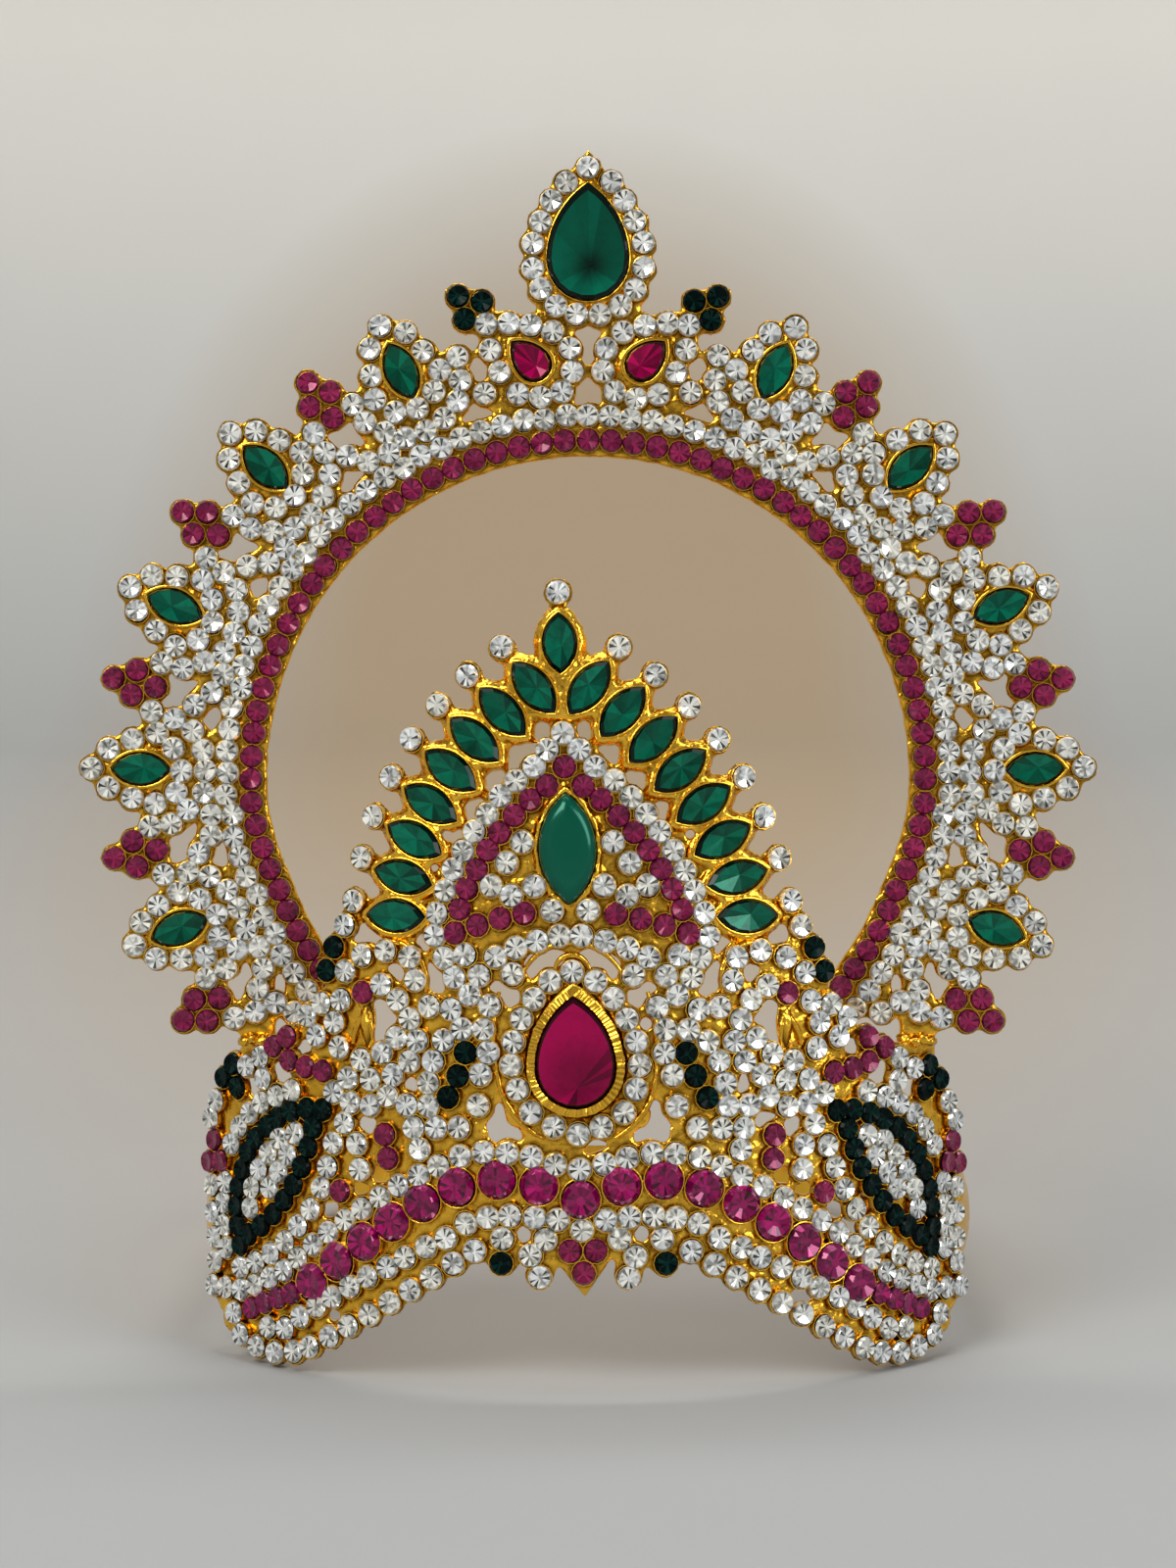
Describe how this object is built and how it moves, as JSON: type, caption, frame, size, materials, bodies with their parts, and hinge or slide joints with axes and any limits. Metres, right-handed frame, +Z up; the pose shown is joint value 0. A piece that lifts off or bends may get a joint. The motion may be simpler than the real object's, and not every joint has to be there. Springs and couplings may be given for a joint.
{
  "type": "deity crown",
  "caption": "Stone-set gold crown for a deity figure: bent pierced front plate with a pointed marquise crest, tall halo ring with petals, and a plain back band.",
  "frame": {"origin": "middle of the bounding box in plan, at the surface that the crown rests on", "axes": "+Z up, +X to the right of someone who looks at the crown's front, the front faces -Y"},
  "size_m": [0.1286, 0.1177, 0.152],
  "materials": {
    "gold": "polished gold plate over a textured casting",
    "green_stone": "foil-backed cut glass, emerald green",
    "ruby_stone": "foil-backed cut glass, ruby red",
    "magenta_stone": "foil-backed cut glass, plum magenta",
    "dark_stone": "foil-backed cut glass, very dark green"
  },
  "bodies": {
    "root": {"front_plate": "gold", "halo": "gold", "back_band": "gold", "top_green_pear": "green_stone", "centre_green_marquise": "green_stone", "halo_green_marquise_1": "green_stone", "halo_green_marquise_2": "green_stone", "halo_green_marquise_3": "green_stone", "halo_green_marquise_4": "green_stone", "halo_green_marquise_5": "green_stone", "halo_green_marquise_6": "green_stone", "halo_green_marquise_7": "green_stone", "halo_green_marquise_8": "green_stone", "halo_green_marquise_9": "green_stone", "halo_green_marquise_10": "green_stone", "crest_green_marquise_1": "green_stone", "crest_green_marquise_2": "green_stone", "crest_green_marquise_3": "green_stone", "crest_green_marquise_4": "green_stone", "crest_green_marquise_5": "green_stone", "crest_green_marquise_6": "green_stone", "crest_green_marquise_7": "green_stone", "crest_green_marquise_8": "green_stone", "crest_green_marquise_9": "green_stone", "crest_green_marquise_10": "green_stone", "crest_green_marquise_11": "green_stone", "crest_green_marquise_12": "green_stone", "crest_green_marquise_13": "green_stone", "crest_green_marquise_14": "green_stone", "crest_green_marquise_15": "green_stone", "crest_green_marquise_16": "green_stone", "crest_green_marquise_17": "green_stone", "centre_ruby_pear": "ruby_stone", "small_ruby_pear_left": "ruby_stone", "small_ruby_pear_right": "ruby_stone", "halo_ruby_row": "magenta_stone", "halo_ruby_clusters": "magenta_stone", "crest_ruby_triangle": "magenta_stone", "band_rubies": "magenta_stone", "halo_dark_clusters": "dark_stone", "leaf_dark_left": "dark_stone", "leaf_dark_right": "dark_stone", "plate_dark_stones": "dark_stone"}
  },
  "joints": []
}
